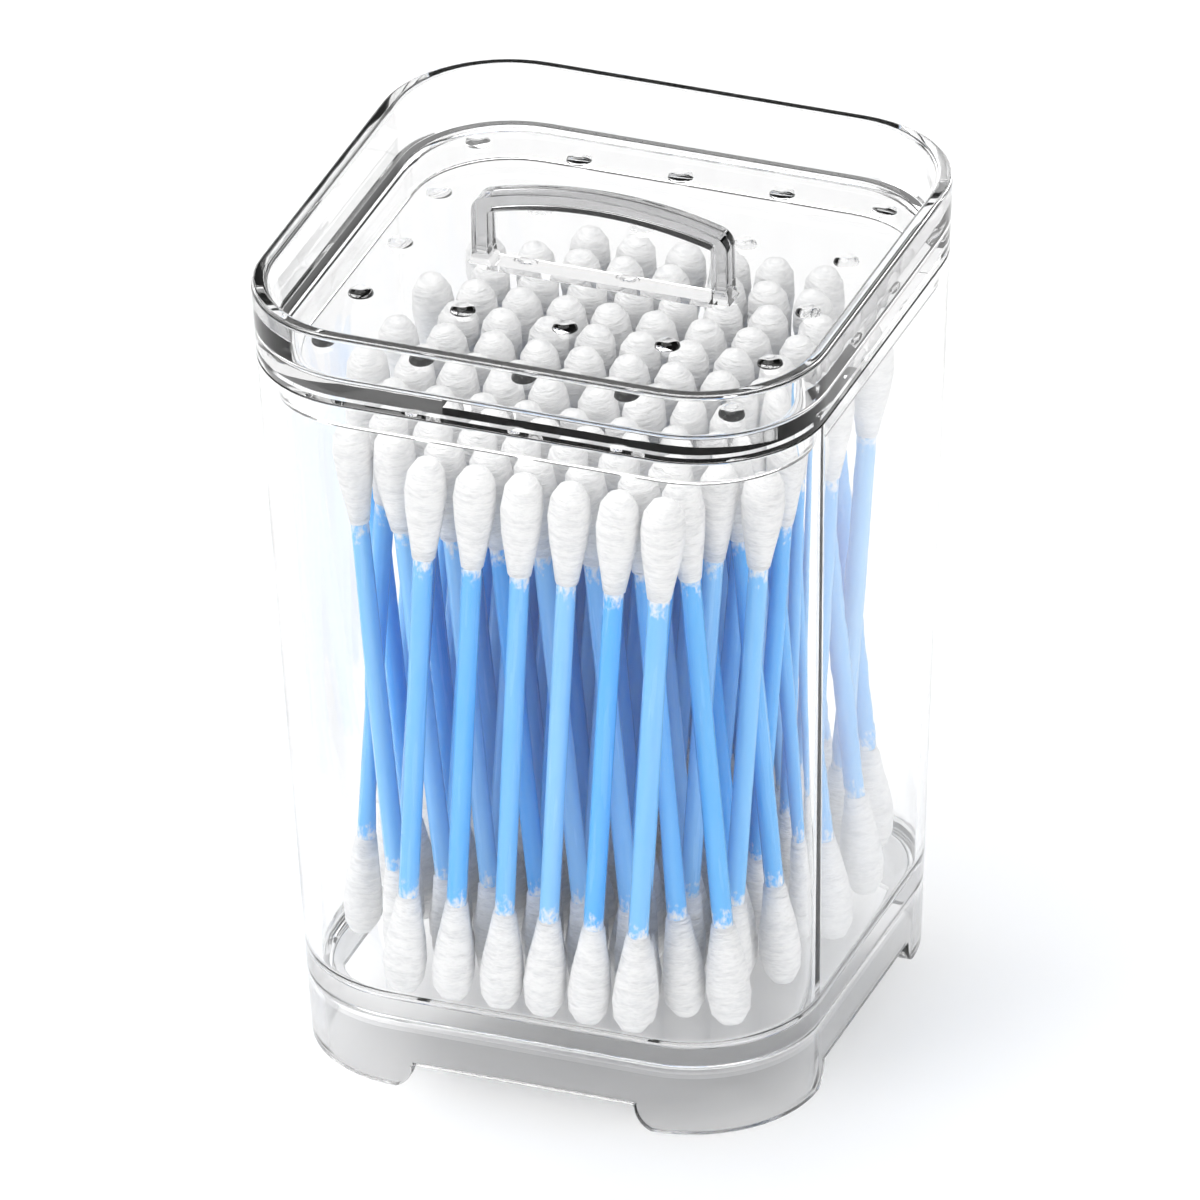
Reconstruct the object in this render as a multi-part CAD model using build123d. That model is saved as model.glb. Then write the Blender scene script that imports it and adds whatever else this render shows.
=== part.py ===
from build123d import *
import math
import os
import random

os.makedirs("parts", exist_ok=True)

# Millimetres. +Z is up, the feet stand on z = 0 and the front faces -Y.

# The swabs set the inside of the canister. Their number follows from its room.
swab_length = 76.0
tip_length = 14.0
tip_diameter = 5.4
stick_diameter = 2.5
swab_sides = 8
bundle_count = 11

# A swab's head stands at most lean_limit to the side of its foot. The push leans a whole row one way.
lean_limit = 10.0
push = 1.5

# The canister is a square tub with round corners that narrows towards its feet.
base_width = 65.1
corner_radius = 16.0
wall = 1.9
floor_thickness = 2.0
skirt_height = 9.4
head_room = 9.3
arch_width = 28.8
arch_height = 3.3
foot_round = 3.6

# The lid carries on the canister's slope. It is a tray with a plug under it and a handle in its middle.
rim_width = 73.1
rim_height = 9.4
rim_wall = 2.0
tray_draft = 6.0
panel_thickness = 2.2
plug_depth = 4.0
plug_wall = 1.6
pip_pitch = 13.2
pip_diameter = 3.2
pip_height = 0.9
pips_each_way = 5
pip_sides = 8
handle_length = 33.2
handle_height = 11.3
handle_depth = 3.0
handle_bar = 2.5
handle_post = 2.0
handle_rise = 2.6
handle_corner = 2.4

# Clearances.
plug_gap = 0.35
swab_gap = 0.12
wall_gap = 0.2
seat_gap = 0.02
over = 2.0

# Levels that follow from the sizes above.
floor_z = skirt_height + floor_thickness
seam_z = floor_z + swab_length + head_room
top_z = seam_z + rim_height
panel_z = seam_z + panel_thickness
lip_z = seam_z - plug_depth
draft = math.degrees(math.atan2((rim_width - base_width) / 2, top_z))


def width_at(z):
    """Outside width of the canister and the lid at height z."""
    return base_width + (rim_width - base_width) * z / top_z


def tapered(outline, z_from, z_to, taper):
    """Extrudes a level outline from z_from to z_to, up or down, and narrows it along the way."""
    block = extrude(outline, amount=abs(z_to - z_from), taper=taper)
    if z_to < z_from:
        block = Rot(180, 0, 0) * block
    return Pos(0, 0, z_from) * block


def rounded_block(width, z_from, z_to, taper, radius):
    """A square block with round corners that narrows by taper on the way from z_from to z_to."""
    block = tapered(Rectangle(width, width), z_from, z_to, taper)
    return fillet(block.edges().group_by(Axis.Z)[1], radius)


def facet_cone(radius_from, radius_to, z_from, z_to, sides):
    """A turned form in flat facets, from one radius to another."""
    apothem_share = math.cos(math.pi / sides)
    slope = math.atan2((radius_from - radius_to) * apothem_share, abs(z_to - z_from))
    return tapered(RegularPolygon(radius_from, sides), z_from, z_to, math.degrees(slope))


def shell_block(z_low, z_high, inset):
    """The outside form of canister and lid between two levels, moved in by inset."""
    width = width_at(z_high) - 2 * inset
    return rounded_block(width, z_high, z_low, draft, corner_radius - inset)


def make_arch():
    """The space between two feet, right through the canister. The feet are rounded at their ends."""
    foot_middle = arch_width / 2 + foot_round
    outline = Rectangle(2 * foot_middle, 2 * arch_height)
    for side in (-1, 1):
        outline = outline - Pos(side * foot_middle, arch_height) * Circle(foot_round)
    return extrude(Plane.XZ * outline, amount=base_width, both=True)


def make_canister():
    tub = shell_block(0, seam_z, 0)
    room = shell_block(floor_z, seam_z + over, wall)
    hollow = shell_block(-over, skirt_height, wall)
    arch = make_arch()
    return tub - room - hollow - arch - Rot(0, 0, 90) * arch


def make_handle():
    """A strap that springs from the panel, arched along its top."""
    half = handle_length / 2
    top = panel_z + handle_height
    shoulder = top - handle_rise
    foot = panel_z - panel_thickness / 2
    inner = half - handle_post
    outline = make_face(
        Polyline((half, shoulder), (half, foot), (-half, foot), (-half, shoulder))
        + ThreePointArc((-half, shoulder), (0, top), (half, shoulder))
    )
    opening = make_face(
        Polyline(
            (inner, shoulder - handle_bar),
            (inner, foot - over),
            (-inner, foot - over),
            (-inner, shoulder - handle_bar),
        )
        + ThreePointArc(
            (-inner, shoulder - handle_bar),
            (0, top - handle_bar),
            (inner, shoulder - handle_bar),
        )
    )
    shoulders = outline.vertices().group_by(Axis.Y)[-1]
    outline = fillet(shoulders, handle_corner)
    strap = extrude(Plane.XZ * outline, amount=handle_depth / 2, both=True)
    gap = extrude(Plane.XZ * opening, amount=handle_depth / 2, both=True)
    return strap, gap


def make_pip():
    """A low dome that stands on the panel, in two steps of flat facets."""
    half = pip_diameter / 2
    root = facet_cone(half, half, -panel_thickness / 2, 0, pip_sides)
    flank = facet_cone(half, 0.8 * half, 0, 0.6 * pip_height, pip_sides)
    crown = facet_cone(0.8 * half, 0.4 * half, 0.6 * pip_height, pip_height, pip_sides)
    return root + flank + crown


def make_lid():
    rim = shell_block(seam_z, top_z, 0)
    tray_top = rim_width - 2 * rim_wall + 2 * over * math.tan(math.radians(tray_draft))
    tray = rounded_block(tray_top, top_z + over, panel_z, tray_draft, corner_radius - rim_wall)
    plug = shell_block(lip_z, seam_z, wall + plug_gap)
    hollow = shell_block(lip_z - over, seam_z, wall + plug_gap + plug_wall)
    body = rim + plug - hollow - tray
    strap, gap = make_handle()
    body = body + strap - gap
    middle = (pips_each_way - 1) / 2
    pip = make_pip()
    pips = []
    for column in range(pips_each_way):
        for row in range(pips_each_way):
            x = (column - middle) * pip_pitch
            y = (row - middle) * pip_pitch
            under_handle = abs(y) < pip_diameter and abs(x) < handle_length / 2 + pip_diameter / 2
            if not under_handle:
                pips.append(Pos(x, y, panel_z) * pip)
    return body + pips


tip_belly = tip_diameter / 2
tip_belly_z = 0.32 * tip_length
tip_end = 0.58 * tip_belly
tip_neck = 0.6 * stick_diameter
tip_cone = facet_cone(tip_belly, tip_neck, tip_belly_z, tip_length, swab_sides)
tip_cap = facet_cone(tip_belly, tip_end, tip_belly_z, 0, swab_sides)
tip = (tip_cone + tip_cap).solid()
stick_half = stick_diameter / 2
stick = facet_cone(stick_half, stick_half, tip_length, swab_length - tip_length, swab_sides).solid()


def reach(y, half, radius):
    """How far along X a swab may stand in a row at y, inside round corners."""
    centre = half - radius
    past = max(0.0, abs(y) - centre)
    return centre + math.sqrt(max(0.0, radius**2 - past**2))


def standing_room(z):
    """Half width and corner radius that are left for the axis of a swab at height z."""
    inset = wall + wall_gap + tip_diameter / 2
    return width_at(z) / 2 - inset, corner_radius - inset


def spread(count, limit, pitch, to_right, chance):
    """count places inside limit, at least a pitch apart, pushed to one side. Chance deals out the slack."""
    slack = min(2 * limit - (count - 1) * pitch, lean_limit)
    shares = [chance.random() ** 2 + 0.05 for _ in range(count + 1)]
    shares[0 if to_right else -1] += push * sum(shares)
    places = []
    x = -(slack + (count - 1) * pitch) / 2
    for share in shares[:-1]:
        x = x + slack * share / sum(shares)
        places.append(x)
        x = x + pitch
    return places


def swab_rows():
    """Rows of swab axes as (foot, direction). Each row keeps to its own upright plane and leans one way."""
    chance = random.Random(12)
    pitch = (tip_diameter + swab_gap) * math.hypot(lean_limit, swab_length) / swab_length
    low_half, low_radius = standing_room(floor_z)
    high_half, high_radius = standing_room(floor_z + swab_length)
    row_half = min(low_half, high_half)
    row_count = int(2 * row_half / (tip_diameter + swab_gap)) + 1
    rows = []
    for number in range(row_count):
        y = (2 * number / (row_count - 1) - 1) * row_half
        low = reach(y, low_half, low_radius)
        high = reach(y, high_half, high_radius)
        count = int(2 * min(low, high) / pitch) - min(1, number, row_count - 1 - number)
        leans_right = number % 2 == 0
        feet = spread(count, low, pitch, not leans_right, chance)
        heads = spread(count, high, pitch, leans_right, chance)
        row = []
        for x_low, x_high in zip(feet, heads):
            across = x_high - x_low
            axis = Vector(across, 0, math.sqrt(swab_length**2 - across**2)).normalized()
            foot_z = floor_z + seat_gap + tip_end * abs(across) / swab_length
            row.append((Vector(x_low, y, foot_z), axis))
        rows.append(row)
    return rows


def along(foot, axis):
    return Plane(origin=foot, x_dir=(1, 0, -axis.X / axis.Z), z_dir=axis).location


canister = make_canister()
export_step(canister, "parts/canister.step")
lid = make_lid()
export_step(lid, "parts/lid.step")

# The swabs are dealt out over the bundles from the front to the back.
swabs = [swab for row in swab_rows() for swab in row]
for number in range(1, bundle_count + 1):
    first = (number - 1) * len(swabs) // bundle_count
    past_last = number * len(swabs) // bundle_count
    sticks = []
    tips = []
    for foot, axis in swabs[first:past_last]:
        head = foot + axis * swab_length
        sticks.append(along(foot, axis) * stick)
        tips.append(along(foot, axis) * tip)
        tips.append(along(head, axis) * Rot(180, 0, 0) * tip)
    export_step(Compound(sticks), f"parts/swab_sticks_{number:02d}.step")
    export_step(Compound(tips), f"parts/swab_tips_{number:02d}.step")

print("swabs", len(swabs), "seam", seam_z, "top", top_z, "handle top", panel_z + handle_height)
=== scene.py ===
# %% [markdown]
# A clear container of cotton swabs.
# The container is two injection mouldings: a square canister on four corner feet, and a lift-off lid
# with a tray top and a strap handle. It is full of swabs with blue sticks and wound cotton tips.
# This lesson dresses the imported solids: it models both mouldings again with soft edges, which is what
# makes clear plastic readable, and it winds cotton on the swabs where the solids stand.

# %% Load the frame
import math
import random

import bmesh
import bpy
from mathutils import Matrix, Vector


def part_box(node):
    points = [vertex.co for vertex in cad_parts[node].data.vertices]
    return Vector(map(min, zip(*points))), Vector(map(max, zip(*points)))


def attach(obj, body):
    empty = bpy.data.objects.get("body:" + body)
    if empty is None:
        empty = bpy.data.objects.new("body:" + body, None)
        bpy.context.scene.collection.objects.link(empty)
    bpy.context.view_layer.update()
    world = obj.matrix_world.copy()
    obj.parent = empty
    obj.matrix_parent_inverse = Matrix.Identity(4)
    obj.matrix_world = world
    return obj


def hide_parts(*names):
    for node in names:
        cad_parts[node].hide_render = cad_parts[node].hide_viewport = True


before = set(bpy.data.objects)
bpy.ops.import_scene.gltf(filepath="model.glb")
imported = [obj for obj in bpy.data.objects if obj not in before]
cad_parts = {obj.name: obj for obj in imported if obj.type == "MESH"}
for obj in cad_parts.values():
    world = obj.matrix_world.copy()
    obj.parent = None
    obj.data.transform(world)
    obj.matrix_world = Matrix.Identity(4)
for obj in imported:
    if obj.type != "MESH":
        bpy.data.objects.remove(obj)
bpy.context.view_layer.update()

MM = 0.001


def in_mm(point):
    return [round(v / MM, 2) for v in point]


# %% [markdown]
# The camera. A product picture like this one is taken with a very long lens from far away, so that
# upright edges stay almost parallel. A camera can be aimed with a constraint, but here its three axes are
# worked out from a turn, a height and a small roll, because that gives the same picture every time.

# %% Camera
view_turn = math.radians(21.31)
view_height = math.radians(29.95)
view_roll = math.radians(-1.12)
view_distance = 3.669
aim_height = 53.86 * MM
aim_left = 1.215 * MM
sensor = 36.0
lens = 904.3

backwards = Vector((
    math.sin(view_turn) * math.cos(view_height),
    -math.cos(view_turn) * math.cos(view_height),
    math.sin(view_height),
))
level = Vector((0, 0, 1)).cross(backwards).normalized()
upright = backwards.cross(level)
right = level * math.cos(view_roll) + upright * math.sin(view_roll)
up = upright * math.cos(view_roll) - level * math.sin(view_roll)

camera = bpy.data.objects.new("camera", bpy.data.cameras.new("camera"))
bpy.context.scene.collection.objects.link(camera)
place = backwards * view_distance + Vector((0, 0, aim_height)) - right * aim_left
camera.matrix_world = Matrix.Translation(place) @ Matrix((right, up, backwards)).transposed().to_4x4()
camera.data.sensor_width = sensor
camera.data.lens = lens
camera.data.clip_start = 0.1
camera.data.clip_end = 20.0
bpy.context.scene.camera = camera
bpy.context.scene.view_settings.view_transform = "Standard"
print("the camera stands", round(place.length, 2), "m away")

# %% [markdown]
# The floor and the light. Clear plastic has no colour of its own: it shows what is around it.
# A white floor shows straight through the walls. A room that is darker higher up, and a dark card high
# behind the container, show in the edges, where light goes round corners. Without them the edges would be
# lost against the white. Three large soft lamps light the swabs inside.

# %% Floor
floor_size = 12.0
floor_drop = 0.3 * MM

bpy.ops.object.select_all(action="DESELECT")
bpy.ops.mesh.primitive_plane_add(size=floor_size, location=(0, 0, -floor_drop))
floor = bpy.context.object
floor.name = "floor"

floor_finish = bpy.data.materials.new("white_floor")
floor_finish.use_nodes = True
shader = floor_finish.node_tree.nodes["Principled BSDF"]
shader.inputs["Base Color"].default_value = (0.97, 0.97, 0.97, 1)
shader.inputs["Roughness"].default_value = 0.9
shader.inputs["Specular IOR Level"].default_value = 0.1
floor.data.materials.append(floor_finish)
print("a white floor of", floor_size, "m")

# %% Helpers for nodes
def reckon(nodes, links, operation, *values):
    """A math node on sockets or plain numbers."""
    node = nodes.new("ShaderNodeMath")
    node.operation = operation
    for socket, value in zip(node.inputs, values):
        if isinstance(value, float):
            socket.default_value = value
        else:
            links.new(value, socket)
    return node.outputs["Value"]


def rising(nodes, links, value, low, high, kind="LINEAR"):
    """Nought where a value is below low, one above high, and a ramp in between."""
    node = nodes.new("ShaderNodeMapRange")
    node.interpolation_type = kind
    node.inputs["From Min"].default_value = low
    node.inputs["From Max"].default_value = high
    links.new(value, node.inputs["Value"])
    return node.outputs["Result"]


def blended(nodes, links, share, first, second):
    """A colour between two, each a socket or a plain colour."""
    node = nodes.new("ShaderNodeMix")
    node.data_type = "RGBA"
    links.new(share, node.inputs["Factor"])
    for socket, colour in ((node.inputs["A"], first), (node.inputs["B"], second)):
        if isinstance(colour, tuple):
            socket.default_value = colour
        else:
            links.new(colour, socket)
    return node.outputs["Result"]


def colour_ramp(nodes, links, value, stops):
    """Colours along a value, each with its position."""
    node = nodes.new("ShaderNodeValToRGB")
    node.color_ramp.elements[0].position = stops[0][0]
    node.color_ramp.elements[1].position = stops[-1][0]
    for position, colour in stops[1:-1]:
        node.color_ramp.elements.new(position)
    for element, (position, colour) in zip(node.color_ramp.elements, stops):
        element.color = (*colour, 1)
    links.new(value, node.inputs["Fac"])
    return node.outputs["Color"]


print("helpers for nodes")

# %% Room
room_greys = [(0.0, 1.0), (0.56, 1.0), (0.66, 0.45), (1.0, 0.25)]
card_sides = (0.15, 0.4)
card_feet = (0.22, 0.32)
card_grey = (0.08, 0.08, 0.08, 1)

world = bpy.data.worlds.new("studio")
bpy.context.scene.world = world
world.use_nodes = True
nodes, links = world.node_tree.nodes, world.node_tree.links
direction = nodes.new("ShaderNodeTexCoord").outputs["Generated"]
axes = nodes.new("ShaderNodeSeparateXYZ")
links.new(direction, axes.inputs["Vector"])
lift = rising(nodes, links, axes.outputs["Z"], -1.0, 1.0)
walls = colour_ramp(nodes, links, lift, [(position, (grey,) * 3) for position, grey in room_greys])
behind = nodes.new("ShaderNodeVectorMath")
behind.operation = "DOT_PRODUCT"
links.new(direction, behind.inputs[0])
behind.inputs[1].default_value = (-backwards.x, -backwards.y, 0)
across = rising(nodes, links, behind.outputs["Value"], *card_sides)
above = rising(nodes, links, axes.outputs["Z"], *card_feet)
card = reckon(nodes, links, "MULTIPLY", across, above)
links.new(blended(nodes, links, card, walls, card_grey), nodes["Background"].inputs["Color"])
print("the room goes from white at the horizon to grey overhead, with a dark card behind")

# %% Lamps
def softbox(name, place, size, watts):
    """A square soft lamp at a place, turned to the middle of the canister."""
    lamp = bpy.data.objects.new(name, bpy.data.lights.new(name, "AREA"))
    bpy.context.scene.collection.objects.link(lamp)
    lamp.data.shape = "SQUARE"
    lamp.data.size = size
    lamp.data.energy = watts
    lamp.location = place
    towards = Vector((0, 0, aim_height)) - Vector(place)
    lamp.rotation_euler = towards.to_track_quat("-Z", "Y").to_euler()
    return lamp


softbox("lamp_above", (-0.3, 0.25, 1.5), 1.5, 23.0)
softbox("lamp_left", (-1.3, -1.2, 1.0), 1.1, 12.0)
softbox("lamp_right", (1.6, -0.9, 0.8), 1.1, 9.0)
print("three soft lamps")

# %% [markdown]
# The clear plastic. The real mouldings are polished styrene: it bends light like glass and carries a faint
# ripple from the mould. A principled shader with full transmission does that. Light can run round inside a
# thick edge until it is lost, which draws the dark lines at the seam. Where the real plastic stays clear, in
# the floor, the rim and the back of the panel, such light is let out again. The skirt and the handle are
# painted grey: painted shade for the shadow under the canister seen through the skirt, and for the light
# lost inside the thick handle.

# %% Clear plastic
styrene_bend = 1.57
soft_mirror = (0.35, 0.35, 0.35, 1)
mould_ripple = 0.02 * MM
ripple_scale = 70.0
clear_tint = (0.985, 0.985, 0.985, 1)
clear_pass = (0.8, 0.8, 0.8, 1)
bounces_inside = 1.5


def inside(nodes, links, point, low, high):
    """One where a point lies between two corners, given in millimetres, and nought elsewhere."""
    middle = (Vector(low) + Vector(high)) * MM / 2
    half = (Vector(high) - Vector(low)) * MM / 2
    for operation, value in (("SUBTRACT", middle), ("DIVIDE", half), ("ABSOLUTE", half)):
        node = nodes.new("ShaderNodeVectorMath")
        node.operation = operation
        links.new(point, node.inputs[0])
        node.inputs[1].default_value = value
        point = node.outputs["Vector"]
    axes = nodes.new("ShaderNodeSeparateXYZ")
    links.new(point, axes.inputs["Vector"])
    wider = reckon(nodes, links, "MAXIMUM", axes.outputs["X"], axes.outputs["Y"])
    farthest = reckon(nodes, links, "MAXIMUM", wider, axes.outputs["Z"])
    return reckon(nodes, links, "LESS_THAN", farthest, 1.0)


def clear_plastic(name, shade_and_haze_box, grey, haze, release_boxes):
    """Polished clear plastic with a faint ripple.

    In the grey box its colour is grey, which is painted shade, and it is hazier. In the release boxes light
    that has bounced about inside is let out.
    """
    finish = bpy.data.materials.new(name)
    finish.use_nodes = True
    nodes, links = finish.node_tree.nodes, finish.node_tree.links
    shader = nodes["Principled BSDF"]
    shader.inputs["Transmission Weight"].default_value = 1.0
    shader.inputs["IOR"].default_value = styrene_bend
    shader.inputs["Specular Tint"].default_value = soft_mirror
    point = nodes.new("ShaderNodeTexCoord").outputs["Object"]
    wave = nodes.new("ShaderNodeTexNoise")
    wave.inputs["Scale"].default_value = ripple_scale
    wave.inputs["Detail"].default_value = 2.0
    links.new(point, wave.inputs["Vector"])
    bump = nodes.new("ShaderNodeBump")
    bump.inputs["Strength"].default_value = 1.0
    bump.inputs["Distance"].default_value = mould_ripple
    links.new(wave.outputs["Fac"], bump.inputs["Height"])
    links.new(bump.outputs["Normal"], shader.inputs["Normal"])
    painted_shade_and_haze = inside(nodes, links, point, *shade_and_haze_box)
    # In the grey box the colour turns to a painted shade; the roughness there is a real haze.
    links.new(blended(nodes, links, painted_shade_and_haze, clear_tint, grey), shader.inputs["Base Color"])
    links.new(reckon(nodes, links, "MULTIPLY", painted_shade_and_haze, haze), shader.inputs["Roughness"])

    path = nodes.new("ShaderNodeLightPath")
    clear = reckon(nodes, links, "SUBTRACT", 1.0, painted_shade_and_haze)
    bounced = reckon(nodes, links, "GREATER_THAN", path.outputs["Glossy Depth"], bounces_inside)
    trapped = reckon(nodes, links, "MULTIPLY", bounced, clear)
    zone = inside(nodes, links, point, *release_boxes[0])
    for box in release_boxes[1:]:
        zone = reckon(nodes, links, "MAXIMUM", zone, inside(nodes, links, point, *box))
    passing = nodes.new("ShaderNodeBsdfTransparent")
    passing.inputs["Color"].default_value = clear_pass
    mix = nodes.new("ShaderNodeMixShader")
    links.new(reckon(nodes, links, "MULTIPLY", trapped, zone), mix.inputs["Fac"])
    links.new(shader.outputs["BSDF"], mix.inputs[1])
    links.new(passing.outputs["BSDF"], mix.inputs[2])
    links.new(mix.outputs["Shader"], nodes["Material Output"].inputs["Surface"])
    return finish


print("clear plastic bends light by", styrene_bend)

# %% The plastic of the two mouldings
skirt_box = ((-50, -50, -1), (50, 50, 8.3))
slab_box = ((-50, -50, 8.8), (50, 50, 12))
strap_box = ((-18, -2, 99.6), (18, 2, 112))
rim_box = ((-50, -50, 99.6), (50, 50, 107))
panel_box = ((-50, 1, 96.5), (25, 50, 99.6))
# The skirt grey is painted shade: the shadow under the canister, seen through the clear skirt.
skirt_painted_shade = (0.68, 0.68, 0.683, 1)
skirt_haze = 0.08
# The strap grey is painted shade: the light that is lost inside the thick handle.
strap_painted_shade = (0.58, 0.58, 0.585, 1)
canister_plastic = clear_plastic("clear_canister", skirt_box, skirt_painted_shade, skirt_haze, [slab_box])
lid_plastic = clear_plastic("clear_lid", strap_box, strap_painted_shade, 0.0, [rim_box, panel_box])
print("plastic for the canister and the lid")

# %% [markdown]
# Helpers for modelling by hand. In edit mode an operator acts on what is selected, so every step is a pair:
# pick the vertices by their place, then run the operator. All walls follow one tapered square with round
# corners, so a vertex is known by its height and by how far in from the outside it lies.

# %% Helpers
corner = 16.0 * MM
corner_steps = 14
near = 0.02 * MM


def half_width(node, z):
    """Half the width of a solid at one of its flat levels, measured on its vertices."""
    return max(v.co.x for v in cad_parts[node].data.vertices if abs(v.co.z - z) < near)


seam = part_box("canister")[1].z
base_half = half_width("canister", 0.0)
seam_half = half_width("canister", seam)
slope = (seam_half - base_half) / seam


def inset_of(co):
    """How far in from the outside form a point lies."""
    middle = base_half + slope * co.z - corner
    return corner - math.hypot(max(abs(co.x) - middle, 0), max(abs(co.y) - middle, 0))


def pick(test):
    """Selects the vertices for which the test holds, with the edges and faces between them."""
    bpy.ops.mesh.select_all(action="DESELECT")
    mesh = bmesh.from_edit_mesh(bpy.context.object.data)
    for vertex in mesh.verts:
        if test(vertex.co):
            vertex.select_set(True)
    mesh.select_flush(True)
    bmesh.update_edit_mesh(bpy.context.object.data)


def at(co, z):
    return abs(co.z - z) < near


def pick_ring(z, inset):
    pick(lambda co: at(co, z) and abs(inset_of(co) - inset) < 5 * near)


def begin(name):
    """Names the primitive that was just added and opens it in edit mode, all selected."""
    piece = bpy.context.object
    piece.name = piece.data.name = name
    bpy.ops.object.transform_apply(location=True, rotation=True, scale=True)
    bpy.ops.object.mode_set(mode="EDIT")
    bpy.ops.mesh.select_mode(type="VERT")
    bpy.ops.mesh.select_all(action="SELECT")
    return piece


def rounded_square(name, half, z):
    """A flat face with round corners, open in edit mode."""
    bpy.ops.object.select_all(action="DESELECT")
    bpy.ops.mesh.primitive_plane_add(size=2 * half, location=(0, 0, z))
    piece = begin(name)
    bpy.ops.mesh.bevel(offset=corner, segments=corner_steps, profile=0.5, affect="VERTICES")
    return piece


def extrude(height):
    bpy.ops.mesh.extrude_region_move(TRANSFORM_OT_translate={"value": (0, 0, height)})


def spread(z, chosen, by):
    """Moves the four corners of a ring outwards, so that it grows and its corners keep their radius."""
    for side_x in (-1, 1):
        for side_y in (-1, 1):
            pick(lambda co: at(co, z) and co.x * side_x > 0 and co.y * side_y > 0 and chosen(co))
            bpy.ops.transform.translate(value=(side_x * by, side_y * by, 0))


def everywhere(co):
    return True


def inset_face(thickness):
    bpy.ops.mesh.inset(thickness=thickness, use_even_offset=True)


def resize(share, x=0.0):
    """Scales what is selected sideways, about an upright axis at x."""
    bpy.ops.transform.resize(value=(share, share, 1), center_override=(x, 0, 0))


def round_edge(z, inset, width, steps):
    """Rounds the edge that runs round at a height and an inset."""
    pick_ring(z, inset)
    bpy.ops.mesh.bevel(offset=width, segments=steps, profile=0.5, affect="EDGES")


def close_up(piece):
    """Leaves edit mode with the faces turned outwards."""
    bpy.ops.mesh.select_all(action="SELECT")
    bpy.ops.mesh.remove_doubles(threshold=0.001 * MM)
    bpy.ops.mesh.normals_make_consistent(inside=False)
    bpy.ops.object.mode_set(mode="OBJECT")
    return piece


def select(pieces):
    """Selects some objects and nothing else, with the first one active."""
    bpy.ops.object.select_all(action="DESELECT")
    for piece in pieces:
        piece.select_set(True)
    bpy.context.view_layer.objects.active = pieces[0]


def join(pieces, name):
    """Joins some objects into the first one and gives it a name."""
    select(pieces)
    bpy.ops.object.join()
    piece = bpy.context.object
    piece.name = piece.data.name = name
    return piece


def apply(piece, kind, **settings):
    """Adds a modifier with its settings and applies it."""
    select([piece])
    modifier = piece.modifiers.new(kind.lower(), kind)
    for key, value in settings.items():
        setattr(modifier, key, value)
    bpy.ops.object.modifier_apply(modifier=modifier.name)


def cut(piece, tool, operation):
    """Takes a tool away from a piece, or adds it, and deletes the tool."""
    apply(piece, "BOOLEAN", object=tool, operation=operation, solver="EXACT")
    bpy.data.objects.remove(tool, do_unlink=True)


def let_light_in(piece):
    """Keeps a clear piece from casting a hard shadow on what stands inside it."""
    piece.visible_shadow = False
    piece.visible_diffuse = False


def dress(piece, finish, body, slot, *replaced):
    """Gives a piece its finish, the body that it rides on and the solids that it stands for."""
    piece.data.materials.clear()
    piece.data.materials.append(finish)
    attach(piece, body)
    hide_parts(*replaced)


print("base", round(base_half / MM, 2), "seam", round(seam_half / MM, 2), "at", round(seam / MM, 2))

# %% [markdown]
# The canister. The real one is a tub that narrows towards its feet, with a raised floor and a hollow under
# it. It could be revolved if it were round. Being square, it starts as a flat face with round corners that
# is drawn up into a block, and the room and the hollow are pushed in from above and below.

# %% Canister body
wall = 1.9 * MM
floor_top = 11.4 * MM
floor_under = 9.4 * MM
seat = 0.08 * MM

canister = rounded_square("canister_shell", base_half, 0)
rim = seam - seat
extrude(rim)
spread(rim, everywhere, slope * rim)
pick(lambda co: at(co, rim))
inset_face(wall)
extrude(floor_top - rim)
spread(floor_top, everywhere, slope * (floor_top - rim))
pick(lambda co: at(co, 0))
inset_face(wall)
extrude(floor_under)
spread(floor_under, everywhere, slope * floor_under)
print("canister body", len(canister.data.vertices), "vertices")

# %% Canister edges
inner_floor_round = 2.2 * MM
under_floor_round = 1.0 * MM
rim_round = 0.25 * MM
round_edge(floor_top, wall, inner_floor_round, 5)
round_edge(floor_under, wall, under_floor_round, 3)
round_edge(rim, 0, rim_round, 3)
round_edge(rim, wall, rim_round, 3)
close_up(canister)
print("canister with round edges", len(canister.data.polygons), "faces")

# %% [markdown]
# The arches between the feet. Each is cut right through with a block whose upper edges are hollowed out,
# so that what stays behind is a foot with a round end. A boolean takes the block away.

# %% Canister feet
arch_half = 14.4 * MM
arch_height = 3.3 * MM
foot_round = 3.6 * MM
foot_edge = 0.4 * MM
foot_sides = 48
smooth_below = math.radians(40)
edge_above = math.radians(55)

for turn in (0, math.pi / 2):
    bpy.ops.object.select_all(action="DESELECT")
    length = 3 * seam_half
    foot_middle = arch_half + foot_round
    bpy.ops.mesh.primitive_cube_add(size=2 * foot_middle, location=(0, 0, arch_height - foot_middle))
    arch = begin("arch")
    bpy.ops.transform.resize(value=(1, length / foot_middle, 1), center_override=(0, 0, 0))
    close_up(arch)
    for side in (-1, 1):
        bpy.ops.object.select_all(action="DESELECT")
        bpy.ops.mesh.primitive_cylinder_add(
            vertices=foot_sides, radius=foot_round, depth=3 * length,
            location=(side * foot_middle, 0, arch_height), rotation=(math.pi / 2, 0, 0),
        )
        foot_end = begin("foot_end")
        close_up(foot_end)
        cut(arch, foot_end, "DIFFERENCE")
    arch.data.transform(Matrix.Rotation(turn, 4, "Z"))
    cut(canister, arch, "DIFFERENCE")
apply(canister, "BEVEL", width=foot_edge, segments=3, limit_method="ANGLE", angle_limit=edge_above)
bpy.ops.object.shade_smooth_by_angle(angle=smooth_below)
apply(canister, "WEIGHTED_NORMAL", keep_sharp=True, weight=80)
dress(canister, canister_plastic, "canister", "clear_canister", "canister")
let_light_in(canister)
print("canister on four feet", len(canister.data.polygons), "faces")

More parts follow.
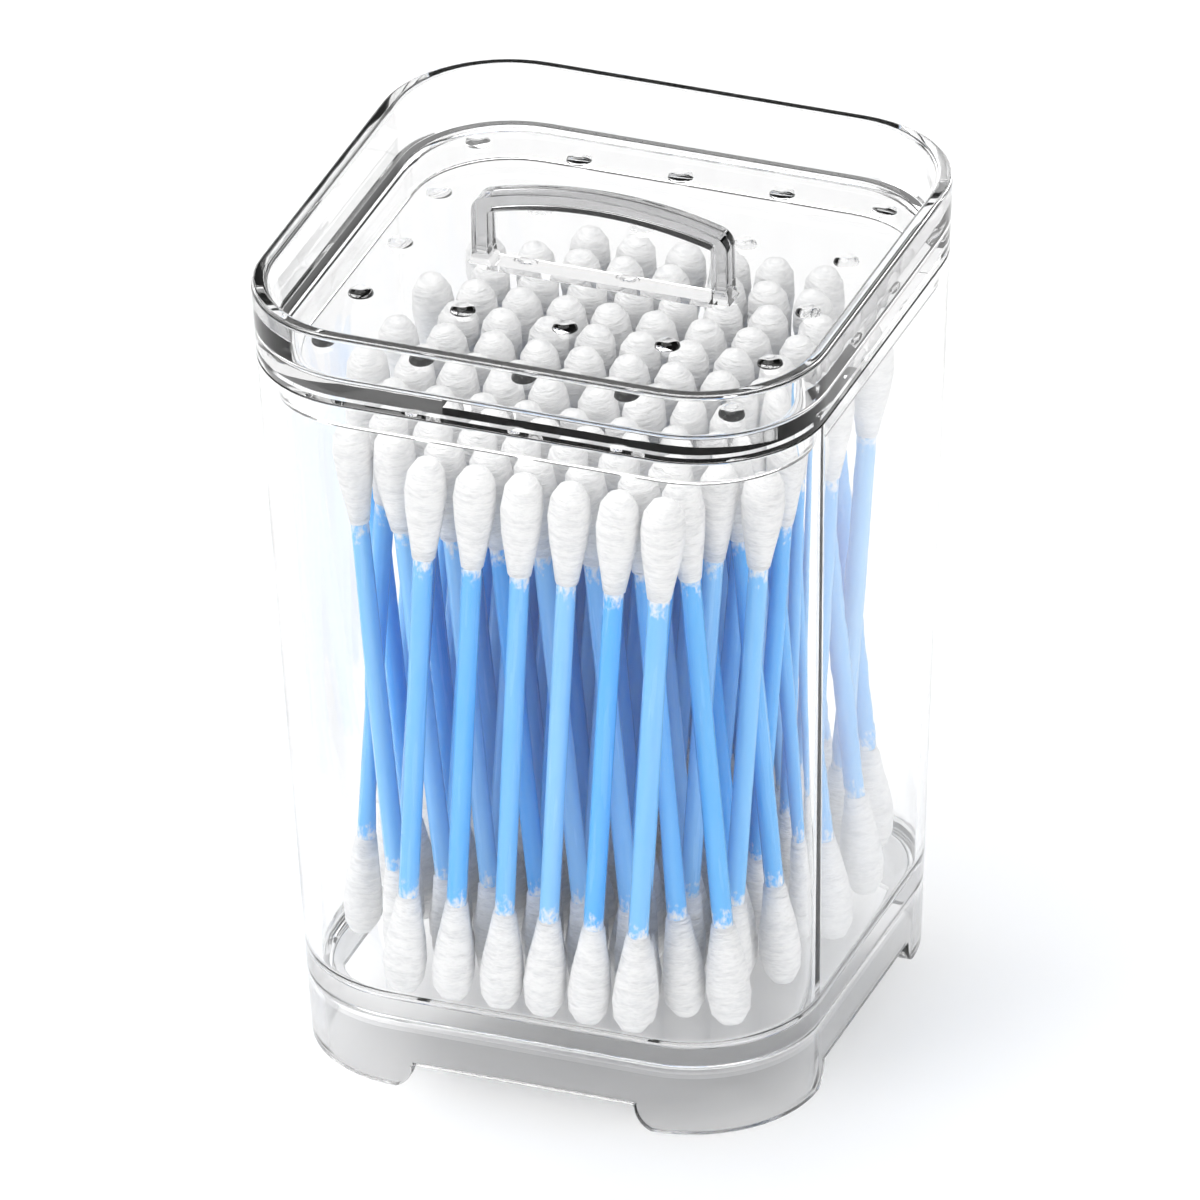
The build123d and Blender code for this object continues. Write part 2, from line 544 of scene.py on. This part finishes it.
# %% [markdown]
# The lid. It carries on the slope of the canister, with a tray on top and a plug below that keeps it in
# place. It is drawn and pushed from one flat face like the canister.

# %% Lid body
top = 106.1 * MM
panel = 98.9 * MM
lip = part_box("lid")[0].z
rim_wall = 2.0 * MM
tray_slope = math.tan(math.radians(6.0))
plug_inset = 2.25 * MM
plug_wall = 1.6 * MM

lid = rounded_square("lid_shell", seam_half, seam)
extrude(top - seam)
spread(top, everywhere, slope * (top - seam))
pick(lambda co: at(co, top))
inset_face(rim_wall)
extrude(panel - top)
spread(panel, everywhere, tray_slope * (panel - top))
pick(lambda co: at(co, seam))
inset_face(plug_inset)
extrude(lip - seam)
spread(lip, everywhere, slope * (lip - seam))
pick(lambda co: at(co, lip))
inset_face(plug_wall)
extrude(seam - lip)
spread(seam, lambda co: inset_of(co) > plug_inset + plug_wall / 2, slope * (seam - lip))
print("lid body", len(lid.data.vertices), "vertices")

# %% Lid edges
top_round = 0.6 * MM
seam_round = 0.12 * MM
lip_round = 0.3 * MM
panel_round = 1.2 * MM
round_edge(top, 0, top_round, 3)
round_edge(top, rim_wall, top_round, 3)
round_edge(seam, 0, seam_round, 2)
round_edge(lip, plug_inset, lip_round, 2)
round_edge(lip, plug_inset + plug_wall, lip_round, 2)
pick(lambda co: at(co, panel))
bpy.ops.mesh.bevel(offset=panel_round, segments=4, profile=0.5, affect="EDGES")
close_up(lid)
print("lid with round edges", len(lid.data.polygons), "faces")

# %% [markdown]
# The handle. It is a strap: up from the panel, round a corner, over in a low arch and down again.
# One end face is drawn along that way: extrude for the posts, spin for the corners and the arch.
# A slot in the panel under the strap is left by the core of the mould.

# %% Handle sizes
handle_half = 16.6 * MM
handle_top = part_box("lid")[1].z
handle_rise = 2.6 * MM
handle_corner = 2.4 * MM
strap = 2.2 * MM
strap_depth = 3.0 * MM
strap_edge = 0.25 * MM
root = 1.0 * MM
flare = 1.3
waist = 1.1
flare_height = 0.5 * MM
waist_height = 1.1 * MM

arch_radius = (handle_half**2 + handle_rise**2) / (2 * handle_rise)
corner_x = handle_half - handle_corner
arch_angle = math.asin(corner_x / (arch_radius - handle_corner))
arch_z = handle_top - arch_radius
corner_z = arch_z + (arch_radius - handle_corner) * math.cos(arch_angle)
corner_turn = math.pi / 2 - arch_angle
post_height = corner_z - panel - flare_height - waist_height
print("handle arch of radius", round(arch_radius / MM, 2))

# %% Handle
bpy.ops.object.select_all(action="DESELECT")
post_x = handle_half - strap / 2
foot_place = (-post_x, 0, panel - root)
bpy.ops.mesh.primitive_plane_add(size=strap, location=foot_place)
handle = begin("handle")
bpy.ops.transform.resize(value=(1, strap_depth / strap, 1), center_override=foot_place)
bpy.ops.mesh.bevel(offset=strap_edge, segments=2, profile=0.5, affect="VERTICES")
resize(flare, -post_x)
extrude(root)
extrude(flare_height)
resize(waist / flare, -post_x)
extrude(waist_height)
resize(1 / waist, -post_x)
extrude(post_height)
bpy.ops.mesh.spin(steps=6, angle=corner_turn, center=(-corner_x, 0, corner_z), axis=(0, -1, 0))
bpy.ops.mesh.spin(steps=16, angle=2 * arch_angle, center=(0, 0, arch_z), axis=(0, -1, 0))
bpy.ops.mesh.spin(steps=6, angle=corner_turn, center=(corner_x, 0, corner_z), axis=(0, -1, 0))
extrude(-post_height)
extrude(-waist_height)
resize(waist, post_x)
extrude(-flare_height)
resize(flare / waist, post_x)
extrude(-root)
close_up(handle)
reach = [max(v.co[axis] for v in handle.data.vertices) for axis in range(3)]
print("handle reaches", in_mm(reach))

# %% Slot under the handle
slot_half = 14.6 * MM
bpy.ops.object.select_all(action="DESELECT")
slot_size = (2 * slot_half, strap_depth, 4 * root)
bpy.ops.mesh.primitive_cube_add(size=1, location=(0, 0, (panel + seam) / 2), scale=slot_size)
slot_tool = begin("slot_tool")
close_up(slot_tool)
cut(lid, slot_tool, "DIFFERENCE")
cut(lid, handle, "UNION")
print("lid with handle", len(lid.data.polygons), "faces")

# %% [markdown]
# The pips. Low domes in a grid of five by five keep what stands in the tray off the wet panel.
# Three are missing where the handle stands. One is turned up from a circle and copied.

# %% Pips
pip_pitch = 13.2 * MM
pip_half = 1.6 * MM
pip_sides = 20
pip_rings = [(0.3, 0.92), (0.35, 0.66), (0.2, 0.34)]

bpy.ops.object.select_all(action="DESELECT")
bpy.ops.mesh.primitive_circle_add(
    vertices=pip_sides, radius=pip_half, fill_type="NGON", location=(0, 0, panel - root)
)
pip = begin("pip")
extrude(root)
size_now = 1.0
for step, share in pip_rings:
    extrude(step * MM)
    resize(share / size_now)
    size_now = share
close_up(pip)
pips = []
for column in range(-2, 3):
    for row in range(-2, 3):
        if row == 0 and abs(column) < 2:
            continue
        copy = bpy.data.objects.new("pip", pip.data.copy())
        copy.data.transform(Matrix.Translation((column * pip_pitch, row * pip_pitch, 0)))
        bpy.context.scene.collection.objects.link(copy)
        pips.append(copy)
bpy.data.objects.remove(pip, do_unlink=True)
pip_count = len(pips)
cut(lid, join(pips, "pips"), "UNION")
bpy.ops.object.shade_smooth_by_angle(angle=smooth_below)
apply(lid, "WEIGHTED_NORMAL", keep_sharp=True, weight=80)
dress(lid, lid_plastic, "lid", "clear_lid", "lid")
let_light_in(lid)
print("lid with", pip_count, "pips", len(lid.data.polygons), "faces")

# %% [markdown]
# Cotton. The tips are wound from loose fibre, so the surface is matt, with fine wisps that run round the tip.
# Each tip carries its own place as an attribute, so that the fibres turn with it. Noise that is drawn
# out round the tip and squeezed along it gives the windings, in the bump and a little in the colour.

# %% Cotton
winding_stretch = (0.3, 0.3, 1.5)
fibre_stretch = (1.2, 1.2, 5.0)
fibre_share = 0.45
cotton_greys = [(0.34, (0.73, 0.735, 0.745)), (0.56, (0.91, 0.91, 0.91))]
winding_depth = 0.4 * MM
fibre_depth = 0.08 * MM


def drawn_noise(nodes, links, vector, stretch, detail):
    """Noise on an attribute, drawn out by a different amount along each axis."""
    mapping = nodes.new("ShaderNodeMapping")
    mapping.inputs["Scale"].default_value = stretch
    links.new(vector, mapping.inputs["Vector"])
    noise = nodes.new("ShaderNodeTexNoise")
    noise.inputs["Scale"].default_value = 1.0
    noise.inputs["Detail"].default_value = detail
    noise.inputs["Roughness"].default_value = 0.6
    links.new(mapping.outputs["Vector"], noise.inputs["Vector"])
    return noise.outputs["Fac"]


def attribute(nodes, name):
    node = nodes.new("ShaderNodeAttribute")
    node.attribute_name = name
    return node


def wound_cotton():
    finish = bpy.data.materials.new("wound_cotton")
    finish.use_nodes = True
    nodes, links = finish.node_tree.nodes, finish.node_tree.links
    shader = nodes["Principled BSDF"]
    place = attribute(nodes, "wound").outputs["Vector"]
    windings = drawn_noise(nodes, links, place, winding_stretch, 3.0)
    fibres = drawn_noise(nodes, links, place, fibre_stretch, 2.0)
    both = nodes.new("ShaderNodeMix")
    both.inputs["Factor"].default_value = fibre_share
    links.new(windings, both.inputs["A"])
    links.new(fibres, both.inputs["B"])
    greys = colour_ramp(nodes, links, both.outputs["Result"], cotton_greys)
    links.new(greys, shader.inputs["Base Color"])
    coarse = nodes.new("ShaderNodeBump")
    coarse.inputs["Strength"].default_value = 1.0
    coarse.inputs["Distance"].default_value = winding_depth
    links.new(windings, coarse.inputs["Height"])
    fine = nodes.new("ShaderNodeBump")
    fine.inputs["Strength"].default_value = 1.0
    fine.inputs["Distance"].default_value = fibre_depth
    links.new(fibres, fine.inputs["Height"])
    links.new(coarse.outputs["Normal"], fine.inputs["Normal"])
    links.new(fine.outputs["Normal"], shader.inputs["Normal"])
    shader.inputs["Roughness"].default_value = 0.5
    shader.inputs["Specular IOR Level"].default_value = 0.4
    shader.inputs["Sheen Weight"].default_value = 0.2
    return finish


cotton = wound_cotton()
print("cotton wound with noise along the attribute wound")

# %% [markdown]
# The sticks. They are thin blue plastic tubes with a soft shine. No two are quite the same blue, so each
# stick carries a shade of its own, and near the cotton a few loose fibres cling to it.

# %% Blue sticks
stick_blues = [(0.15, (0.06, 0.44, 0.97)), (1.0, (0.34, 0.67, 1.0))]
streak_stretch = (0.8, 0.8, 0.05)
streak_share = 0.5
wisp_stretch = (1.4, 1.4, 0.9)
wisp_share = 2.2
wisp_edge = (1.55, 2.35)
wisp_white = (0.85, 0.87, 0.9, 1)
stick_gloss = (0.15, 0.35)


def blue_plastic():
    finish = bpy.data.materials.new("blue_stick")
    finish.use_nodes = True
    nodes, links = finish.node_tree.nodes, finish.node_tree.links
    shader = nodes["Principled BSDF"]
    place = attribute(nodes, "wound").outputs["Vector"]
    shade = attribute(nodes, "shade").outputs["Fac"]
    ends = attribute(nodes, "ends").outputs["Fac"]
    streaks = drawn_noise(nodes, links, place, streak_stretch, 2.0)
    tone = reckon(nodes, links, "MULTIPLY_ADD", streaks, streak_share, shade)
    blues = colour_ramp(nodes, links, tone, stick_blues)
    wisps = drawn_noise(nodes, links, place, wisp_stretch, 3.0)
    cling = reckon(nodes, links, "MULTIPLY_ADD", wisps, wisp_share, ends)
    mask = rising(nodes, links, cling, *wisp_edge, kind="SMOOTHSTEP")
    links.new(blended(nodes, links, mask, blues, wisp_white), shader.inputs["Base Color"])
    gloss = nodes.new("ShaderNodeMapRange")
    gloss.inputs["To Min"].default_value = stick_gloss[0]
    gloss.inputs["To Max"].default_value = stick_gloss[1]
    links.new(streaks, gloss.inputs["Value"])
    links.new(gloss.outputs["Result"], shader.inputs["Roughness"])
    return finish


stick_plastic = blue_plastic()
print("blue plastic with a shade for each stick")

# %% [markdown]
# One stick and one tip. Both are drawn up from a circle: extrude, then scale the new ring.
# They are copied nearly a hundred times, so they have only a few dozen faces and rely on smooth shading.

# %% One stick
swab_length = 76.0 * MM
tip_length = 14.0 * MM
stick_half = 1.25 * MM
hidden = 4.0 * MM
collar = 4.0 * MM
stick_sides = 10

bpy.ops.object.select_all(action="DESELECT")
stick_start = tip_length - hidden
bpy.ops.mesh.primitive_circle_add(
    vertices=stick_sides, radius=stick_half, fill_type="NGON", location=(0, 0, stick_start)
)
stick = begin("stick")
straight = swab_length - 2 * stick_start - 2 * (hidden + collar)
for length in (hidden, collar, straight, collar, hidden):
    extrude(length)
close_up(stick)
print("one stick", len(stick.data.polygons), "faces")

# %% One tip
tip_sides = 12
tip_rings = [(14.0, 1.42), (11.2, 1.85), (8.0, 2.4), (4.8, 2.7), (2.2, 2.4), (0.7, 1.5)]
bpy.ops.object.select_all(action="DESELECT")
neck_z, neck_radius = tip_rings[0]
bpy.ops.mesh.primitive_circle_add(
    vertices=tip_sides, radius=neck_radius * MM, fill_type="NGON", location=(0, 0, neck_z * MM)
)
tip = begin("tip")
ring_z, ring_radius = neck_z, neck_radius
for z, radius in tip_rings[1:]:
    extrude((z - ring_z) * MM)
    resize(radius / ring_radius)
    ring_z, ring_radius = z, radius
extrude(-ring_z * MM)
bpy.ops.mesh.merge(type="CENTER")
close_up(tip)
print("one tip", len(tip.data.polygons), "faces")

# %% [markdown]
# The swabs stand where their solids stand. Each bundle of solids is copied, merged and pulled apart into
# loose sticks, and the two ends of each give its axis. A stick and two tips are then laid along that axis,
# each turned by chance, the tips also dented a little, and the bundle is joined into two pieces: its sticks
# and its tips.

# %% Where the swabs stand
def swab_axes(node):
    """The foot and the direction of each swab in a bundle, from the ends of its stick."""
    copy = bpy.data.objects.new("loose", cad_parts[node].data.copy())
    bpy.context.scene.collection.objects.link(copy)
    select([copy])
    bpy.ops.object.mode_set(mode="EDIT")
    bpy.ops.mesh.select_all(action="SELECT")
    bpy.ops.mesh.remove_doubles(threshold=0.001 * MM)
    bpy.ops.mesh.separate(type="LOOSE")
    bpy.ops.object.mode_set(mode="OBJECT")
    axes = []
    for loose in list(bpy.context.selected_objects):
        points = sorted((v.co.copy() for v in loose.data.vertices), key=lambda co: co.z)
        half = len(points) // 2
        low = sum(points[:half], Vector()) / half
        high = sum(points[half:], Vector()) / (len(points) - half)
        way = (high - low).normalized()
        axes.append((low - way * tip_length, way))
        bpy.data.objects.remove(loose, do_unlink=True)
    return axes


bundles = sorted(n.rsplit("_", 1)[1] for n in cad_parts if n.startswith("swab_sticks"))
stands = {number: swab_axes("swab_sticks_" + number) for number in bundles}
print(sum(len(axes) for axes in stands.values()), "swabs in", len(bundles), "bundles")

# %% Lay the swabs
chance = random.Random(4)
dent_size = 0.035
dent_twist = 0.2 / MM
darkest_to_palest = 0.6


def dent(co, waves):
    """A point of a tip, pushed in or out a little, by the same waves all along the tip."""
    turn = math.atan2(co.y, co.x)
    twist = co.z * dent_twist
    share = 1 + sum(size * math.sin(count * turn + start + twist) for size, count, start in waves)
    return Vector((co.x * share, co.y * share, co.z))


def laid(master, place, soft):
    """A copy of a master with its own mesh, its own attributes and a place along a swab."""
    mesh = master.data.copy()
    start = chance.uniform(0, 500)
    tone = chance.uniform(0.0, darkest_to_palest)
    waves = [(chance.uniform(0, dent_size), count, chance.uniform(0, 6.3)) for count in (1, 2, 3)]
    middle = swab_length / 2
    wound, ends = [], []
    for vertex in mesh.vertices:
        wound += [vertex.co.x / MM, vertex.co.y / MM, vertex.co.z / MM + start]
        past = abs(vertex.co.z - middle) - (middle - tip_length - collar)
        ends.append(min(1.0, max(0.0, past / collar)))
        if soft:
            vertex.co = dent(vertex.co, waves)
    mesh.attributes.new("wound", "FLOAT_VECTOR", "POINT").data.foreach_set("vector", wound)
    mesh.attributes.new("shade", "FLOAT", "POINT").data.foreach_set("value", [tone] * len(ends))
    mesh.attributes.new("ends", "FLOAT", "POINT").data.foreach_set("value", ends)
    mesh.transform(place)
    copy = bpy.data.objects.new(master.name, mesh)
    bpy.context.scene.collection.objects.link(copy)
    return copy


def along(foot, way):
    """The matrix that stands a swab on its foot, turned by chance about its own axis."""
    turn = Matrix.Rotation(chance.uniform(0, 2 * math.pi), 4, "Z")
    return Matrix.Translation(foot) @ way.to_track_quat("Z", "Y").to_matrix().to_4x4() @ turn


for number in bundles:
    sticks, tips = [], []
    for foot, way in stands[number]:
        sticks.append(laid(stick, along(foot, way), False))
        tips.append(laid(tip, along(foot, way), True))
        tips.append(laid(tip, along(foot + way * swab_length, -way), True))
    stick_piece = join(sticks, "sticks_" + number)
    bpy.ops.object.shade_smooth()
    dress(stick_piece, stick_plastic, "canister", "swab_stick", "swab_sticks_" + number)
    tip_piece = join(tips, "tips_" + number)
    bpy.ops.object.shade_smooth()
    dress(tip_piece, cotton, "canister", "cotton", "swab_tips_" + number)
bpy.data.objects.remove(stick, do_unlink=True)
bpy.data.objects.remove(tip, do_unlink=True)
print("swabs laid")
